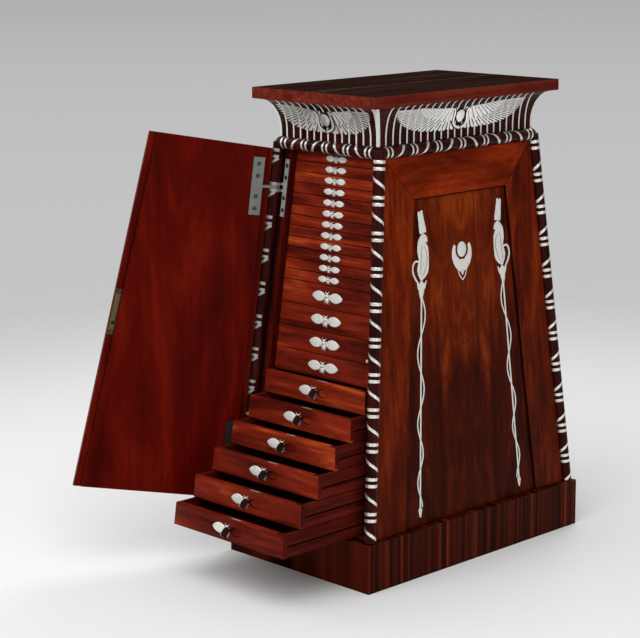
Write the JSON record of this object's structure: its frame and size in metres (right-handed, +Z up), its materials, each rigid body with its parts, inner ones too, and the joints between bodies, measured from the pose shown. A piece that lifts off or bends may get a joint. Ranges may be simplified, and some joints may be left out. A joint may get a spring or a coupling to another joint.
{
  "type": "coin cabinet",
  "caption": "Tapering pylon-shaped coin cabinet standing open, with a slanted-hinge door, shallow drawers with swinging insect-wing pulls, round corner posts and a hollow cornice.",
  "frame": {"origin": "middle of the plinth's underside, on the floor", "axes": "+Z up, drawers facing -Y, the long sides facing +X and -X"},
  "size_m": [0.5119, 0.8846, 0.902],
  "materials": {
    "mahogany": "polished",
    "figured_mahogany": "polished",
    "dark_wood": "polished",
    "silver": "satin",
    "steel": "satin",
    "brass": "aged satin"
  },
  "bodies": {
    "case": {"plinth": "figured_mahogany", "side_left": "figured_mahogany", "side_right": "figured_mahogany", "back_panel": "figured_mahogany", "case_frame": "mahogany", "post_frame": "dark_wood", "cornice": "dark_wood", "top_board": "mahogany", "case_hinge_upper": "steel", "case_hinge_lower": "steel", "strike_plate": "brass"},
    "door": {"door": "mahogany", "door_hinge_upper": "steel", "door_hinge_lower": "steel", "door_lock": "brass"},
    "lock_catch": {"lock_catch": "brass"},
    "drawer_01": {"drawer_01": "mahogany"},
    "wing_01": {"wing_pull_01": "silver"},
    "drawer_02": {"drawer_02": "mahogany"},
    "wing_02": {"wing_pull_02": "silver"},
    "drawer_03": {"drawer_03": "mahogany"},
    "wing_03": {"wing_pull_03": "silver"},
    "drawer_04": {"drawer_04": "mahogany"},
    "wing_04": {"wing_pull_04": "silver"},
    "drawer_05": {"drawer_05": "mahogany"},
    "wing_05": {"wing_pull_05": "silver"},
    "drawer_06": {"drawer_06": "mahogany"},
    "wing_06": {"wing_pull_06": "silver"},
    "drawer_07": {"drawer_07": "mahogany"},
    "wing_07": {"wing_pull_07": "silver"},
    "drawer_08": {"drawer_08": "mahogany"},
    "wing_08": {"wing_pull_08": "silver"},
    "drawer_09": {"drawer_09": "mahogany"},
    "wing_09": {"wing_pull_09": "silver"},
    "drawer_10": {"drawer_10": "mahogany"},
    "wing_10": {"wing_pull_10": "silver"},
    "drawer_11": {"drawer_11": "mahogany"},
    "wing_11": {"wing_pull_11": "silver"},
    "drawer_12": {"drawer_12": "mahogany"},
    "wing_12": {"wing_pull_12": "silver"},
    "drawer_13": {"drawer_13": "mahogany"},
    "wing_13": {"wing_pull_13": "silver"},
    "drawer_14": {"drawer_14": "mahogany"},
    "wing_14": {"wing_pull_14": "silver"},
    "drawer_15": {"drawer_15": "mahogany"},
    "wing_15": {"wing_pull_15": "silver"},
    "drawer_16": {"drawer_16": "mahogany"},
    "wing_16": {"wing_pull_16": "silver"},
    "drawer_17": {"drawer_17": "mahogany"},
    "wing_17": {"wing_pull_17": "silver"},
    "drawer_18": {"drawer_18": "mahogany"},
    "wing_18": {"wing_pull_18": "silver"},
    "drawer_19": {"drawer_19": "mahogany"},
    "wing_19": {"wing_pull_19": "silver"},
    "drawer_20": {"drawer_20": "mahogany"},
    "wing_20": {"wing_pull_20": "silver"},
    "drawer_21": {"drawer_21": "mahogany"},
    "wing_21": {"wing_pull_21": "silver"},
    "drawer_22": {"drawer_22": "mahogany"},
    "wing_22": {"wing_pull_22": "silver"}
  },
  "joints": [
    {"name": "door_hinge", "type": "hinge", "parent": "case", "child": "door", "pos_m": [-0.175, -0.285, 0.092], "axis": [-0.0614, -0.0993, -0.9932], "range_deg": [-25, 60]},
    {"name": "lock_slide", "type": "slide", "parent": "door", "child": "lock_catch", "axis": [-0.1146, -0.2079, -0.9714], "range_m": [0, 0.0045]},
    {"name": "drawer_17_slide", "type": "slide", "parent": "case", "child": "drawer_17", "axis": [0, -1, 0], "range_m": [-0.0195, 0.2805]},
    {"name": "wing_17_hinge", "type": "hinge", "parent": "drawer_17", "child": "wing_17", "pos_m": [0.00565, -0.2564, 0.34204], "axis": [0, -0.0995, -0.995], "range_deg": [-70, 30]},
    {"name": "drawer_18_slide", "type": "slide", "parent": "case", "child": "drawer_18", "axis": [0, -1, 0], "range_m": [-0.056, 0.244]},
    {"name": "wing_18_hinge", "type": "hinge", "parent": "drawer_18", "child": "wing_18", "pos_m": [0.00565, -0.29728, 0.29824], "axis": [0, -0.0995, -0.995], "range_deg": [-70, 30]},
    {"name": "drawer_19_slide", "type": "slide", "parent": "case", "child": "drawer_19", "axis": [0, -1, 0], "range_m": [-0.094, 0.206]},
    {"name": "wing_19_hinge", "type": "hinge", "parent": "drawer_19", "child": "wing_19", "pos_m": [0.00565, -0.33966, 0.25444], "axis": [0, -0.0995, -0.995], "range_deg": [-70, 30]},
    {"name": "drawer_20_slide", "type": "slide", "parent": "case", "child": "drawer_20", "axis": [0, -1, 0], "range_m": [-0.1355, 0.1645]},
    {"name": "wing_20_hinge", "type": "hinge", "parent": "drawer_20", "child": "wing_20", "pos_m": [0.00565, -0.38554, 0.21064], "axis": [0, -0.0995, -0.995], "range_deg": [-70, 30]},
    {"name": "drawer_21_slide", "type": "slide", "parent": "case", "child": "drawer_21", "axis": [0, -1, 0], "range_m": [-0.177, 0.123]},
    {"name": "wing_21_hinge", "type": "hinge", "parent": "drawer_21", "child": "wing_21", "pos_m": [0.00565, -0.43142, 0.16684], "axis": [0, -0.0995, -0.995], "range_deg": [-70, 30]},
    {"name": "drawer_22_slide", "type": "slide", "parent": "case", "child": "drawer_22", "axis": [0, -1, 0], "range_m": [-0.2195, 0.0805]},
    {"name": "wing_22_hinge", "type": "hinge", "parent": "drawer_22", "child": "wing_22", "pos_m": [0.00565, -0.4783, 0.12304], "axis": [0, -0.0995, -0.995], "range_deg": [-70, 30]},
    {"name": "drawer_01_slide", "type": "slide", "parent": "case", "child": "drawer_01", "axis": [0, -1, 0], "range_m": [0, 0.3]},
    {"name": "wing_01_hinge", "type": "hinge", "parent": "drawer_01", "child": "wing_01", "pos_m": [0.00445, -0.19373, 0.77374], "axis": [0, -0.0995, -0.995], "range_deg": [0, 100]},
    {"name": "drawer_13_slide", "type": "slide", "parent": "case", "child": "drawer_13", "axis": [0, -1, 0], "range_m": [0, 0.3]},
    {"name": "wing_13_hinge", "type": "hinge", "parent": "drawer_13", "child": "wing_13", "pos_m": [0.00565, -0.21938, 0.51724], "axis": [0, -0.0995, -0.995], "range_deg": [0, 100]},
    {"name": "drawer_02_slide", "type": "slide", "parent": "case", "child": "drawer_02", "axis": [0, -1, 0], "range_m": [0, 0.3]},
    {"name": "wing_02_hinge", "type": "hinge", "parent": "drawer_02", "child": "wing_02", "pos_m": [0.00445, -0.19577, 0.75334], "axis": [0, -0.0995, -0.995], "range_deg": [0, 100]},
    {"name": "drawer_03_slide", "type": "slide", "parent": "case", "child": "drawer_03", "axis": [0, -1, 0], "range_m": [0, 0.3]},
    {"name": "wing_03_hinge", "type": "hinge", "parent": "drawer_03", "child": "wing_03", "pos_m": [0.00445, -0.19781, 0.73294], "axis": [0, -0.0995, -0.995], "range_deg": [0, 100]},
    {"name": "drawer_04_slide", "type": "slide", "parent": "case", "child": "drawer_04", "axis": [0, -1, 0], "range_m": [0, 0.3]},
    {"name": "wing_04_hinge", "type": "hinge", "parent": "drawer_04", "child": "wing_04", "pos_m": [0.00445, -0.19985, 0.71254], "axis": [0, -0.0995, -0.995], "range_deg": [0, 100]},
    {"name": "drawer_05_slide", "type": "slide", "parent": "case", "child": "drawer_05", "axis": [0, -1, 0], "range_m": [0, 0.3]},
    {"name": "wing_05_hinge", "type": "hinge", "parent": "drawer_05", "child": "wing_05", "pos_m": [0.00445, -0.20189, 0.69214], "axis": [0, -0.0995, -0.995], "range_deg": [0, 100]},
    {"name": "drawer_06_slide", "type": "slide", "parent": "case", "child": "drawer_06", "axis": [0, -1, 0], "range_m": [0, 0.3]},
    {"name": "wing_06_hinge", "type": "hinge", "parent": "drawer_06", "child": "wing_06", "pos_m": [0.00445, -0.20393, 0.67174], "axis": [0, -0.0995, -0.995], "range_deg": [0, 100]},
    {"name": "drawer_07_slide", "type": "slide", "parent": "case", "child": "drawer_07", "axis": [0, -1, 0], "range_m": [0, 0.3]},
    {"name": "wing_07_hinge", "type": "hinge", "parent": "drawer_07", "child": "wing_07", "pos_m": [0.00445, -0.20597, 0.65134], "axis": [0, -0.0995, -0.995], "range_deg": [0, 100]},
    {"name": "drawer_08_slide", "type": "slide", "parent": "case", "child": "drawer_08", "axis": [0, -1, 0], "range_m": [0, 0.3]},
    {"name": "wing_08_hinge", "type": "hinge", "parent": "drawer_08", "child": "wing_08", "pos_m": [0.00445, -0.20801, 0.63094], "axis": [0, -0.0995, -0.995], "range_deg": [0, 100]},
    {"name": "drawer_09_slide", "type": "slide", "parent": "case", "child": "drawer_09", "axis": [0, -1, 0], "range_m": [0, 0.3]},
    {"name": "wing_09_hinge", "type": "hinge", "parent": "drawer_09", "child": "wing_09", "pos_m": [0.00445, -0.21005, 0.61054], "axis": [0, -0.0995, -0.995], "range_deg": [0, 100]},
    {"name": "drawer_10_slide", "type": "slide", "parent": "case", "child": "drawer_10", "axis": [0, -1, 0], "range_m": [0, 0.3]},
    {"name": "wing_10_hinge", "type": "hinge", "parent": "drawer_10", "child": "wing_10", "pos_m": [0.00445, -0.21209, 0.59014], "axis": [0, -0.0995, -0.995], "range_deg": [0, 100]},
    {"name": "drawer_11_slide", "type": "slide", "parent": "case", "child": "drawer_11", "axis": [0, -1, 0], "range_m": [0, 0.3]},
    {"name": "wing_11_hinge", "type": "hinge", "parent": "drawer_11", "child": "wing_11", "pos_m": [0.00445, -0.21413, 0.56974], "axis": [0, -0.0995, -0.995], "range_deg": [0, 100]},
    {"name": "drawer_12_slide", "type": "slide", "parent": "case", "child": "drawer_12", "axis": [0, -1, 0], "range_m": [0, 0.3]},
    {"name": "wing_12_hinge", "type": "hinge", "parent": "drawer_12", "child": "wing_12", "pos_m": [0.00445, -0.21617, 0.54934], "axis": [0, -0.0995, -0.995], "range_deg": [0, 100]},
    {"name": "drawer_14_slide", "type": "slide", "parent": "case", "child": "drawer_14", "axis": [0, -1, 0], "range_m": [0, 0.3]},
    {"name": "wing_14_hinge", "type": "hinge", "parent": "drawer_14", "child": "wing_14", "pos_m": [0.00565, -0.22376, 0.47344], "axis": [0, -0.0995, -0.995], "range_deg": [0, 100]},
    {"name": "drawer_15_slide", "type": "slide", "parent": "case", "child": "drawer_15", "axis": [0, -1, 0], "range_m": [0, 0.3]},
    {"name": "wing_15_hinge", "type": "hinge", "parent": "drawer_15", "child": "wing_15", "pos_m": [0.00565, -0.22814, 0.42964], "axis": [0, -0.0995, -0.995], "range_deg": [0, 100]},
    {"name": "drawer_16_slide", "type": "slide", "parent": "case", "child": "drawer_16", "axis": [0, -1, 0], "range_m": [0, 0.3]},
    {"name": "wing_16_hinge", "type": "hinge", "parent": "drawer_16", "child": "wing_16", "pos_m": [0.00565, -0.23252, 0.38584], "axis": [0, -0.0995, -0.995], "range_deg": [0, 100]}
  ]
}
